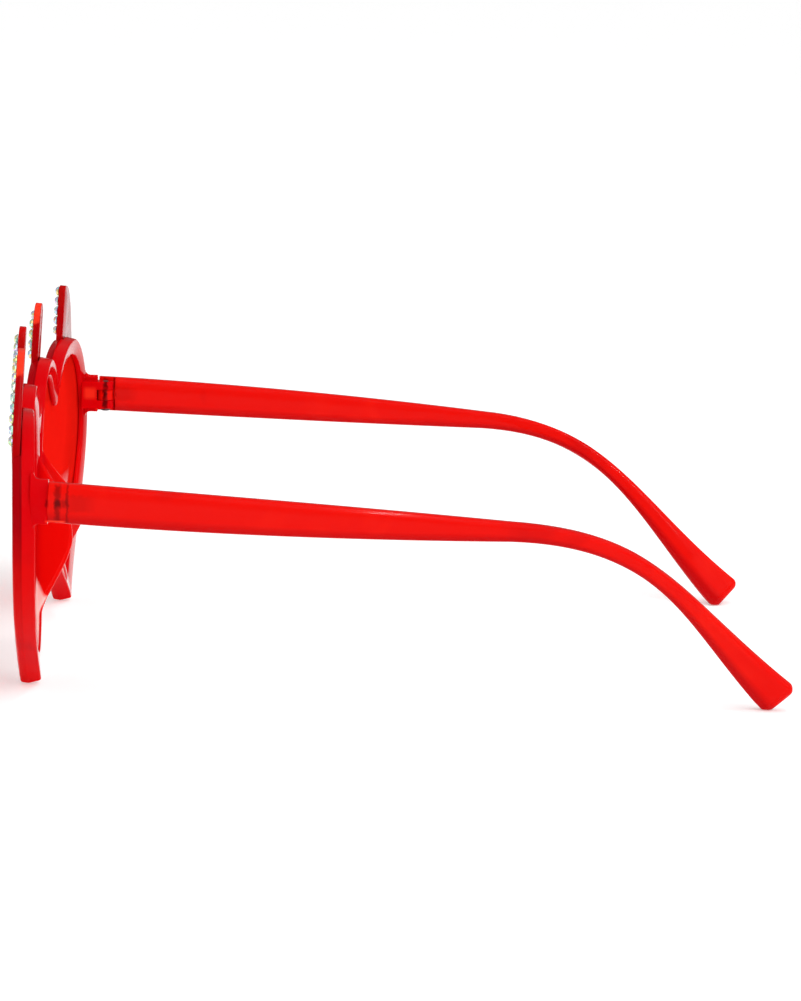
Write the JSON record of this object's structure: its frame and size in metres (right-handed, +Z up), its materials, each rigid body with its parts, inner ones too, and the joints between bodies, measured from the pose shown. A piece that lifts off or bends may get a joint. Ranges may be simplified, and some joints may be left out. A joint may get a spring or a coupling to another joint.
{
  "type": "party glasses",
  "caption": "Heart-shaped novelty glasses with snapped-in lenses, folding temples on pinned hinges, and crest points set with faceted stones.",
  "frame": {"origin": "on the table, under the middle of the bounding box", "axes": "+Z up, the front looks along -Y, the temples run back along +Y, +X is the wearer's left"},
  "size_m": [0.151, 0.1504, 0.066],
  "materials": {
    "red_plastic": "polished, slightly translucent red moulding",
    "red_lens": "polished tinted sheet",
    "pin_steel": "plain drawn wire",
    "stone": "faceted, iridescent coated back"
  },
  "bodies": {
    "front": {"frame_front": "red_plastic", "left_lens": "red_lens", "left_hinge_pin": "pin_steel", "left_outer_crest": "red_plastic", "left_inner_crest": "red_plastic", "left_outer_stone_01": "stone", "left_outer_stone_02": "stone", "left_outer_stone_03": "stone", "left_outer_stone_04": "stone", "left_outer_stone_05": "stone", "left_outer_stone_06": "stone", "left_outer_stone_07": "stone", "left_outer_stone_08": "stone", "left_outer_stone_09": "stone", "left_outer_stone_10": "stone", "left_outer_stone_11": "stone", "left_outer_stone_12": "stone", "left_outer_stone_13": "stone", "left_outer_stone_14": "stone", "left_outer_stone_15": "stone", "left_inner_stone_01": "stone", "left_inner_stone_02": "stone", "left_inner_stone_03": "stone", "left_inner_stone_04": "stone", "left_inner_stone_05": "stone", "left_inner_stone_06": "stone", "left_inner_stone_07": "stone", "left_inner_stone_08": "stone", "left_inner_stone_09": "stone", "right_lens": "red_lens", "right_hinge_pin": "pin_steel", "right_outer_crest": "red_plastic", "right_inner_crest": "red_plastic", "right_outer_stone_01": "stone", "right_outer_stone_02": "stone", "right_outer_stone_03": "stone", "right_outer_stone_04": "stone", "right_outer_stone_05": "stone", "right_outer_stone_06": "stone", "right_outer_stone_07": "stone", "right_outer_stone_08": "stone", "right_outer_stone_09": "stone", "right_outer_stone_10": "stone", "right_outer_stone_11": "stone", "right_outer_stone_12": "stone", "right_outer_stone_13": "stone", "right_outer_stone_14": "stone", "right_outer_stone_15": "stone", "right_inner_stone_01": "stone", "right_inner_stone_02": "stone", "right_inner_stone_03": "stone", "right_inner_stone_04": "stone", "right_inner_stone_05": "stone", "right_inner_stone_06": "stone", "right_inner_stone_07": "stone", "right_inner_stone_08": "stone", "right_inner_stone_09": "stone"},
    "left_temple": {"left_temple": "red_plastic"},
    "right_temple": {"right_temple": "red_plastic"}
  },
  "joints": [
    {"name": "left_temple_fold", "type": "hinge", "parent": "front", "child": "left_temple", "pos_m": [0.07, -0.06225, 0.0404], "axis": [0, 0, 1], "range_deg": [0, 84]},
    {"name": "right_temple_fold", "type": "hinge", "parent": "front", "child": "right_temple", "pos_m": [-0.07, -0.06225, 0.0404], "axis": [0, 0, -1], "range_deg": [0, 76]}
  ]
}
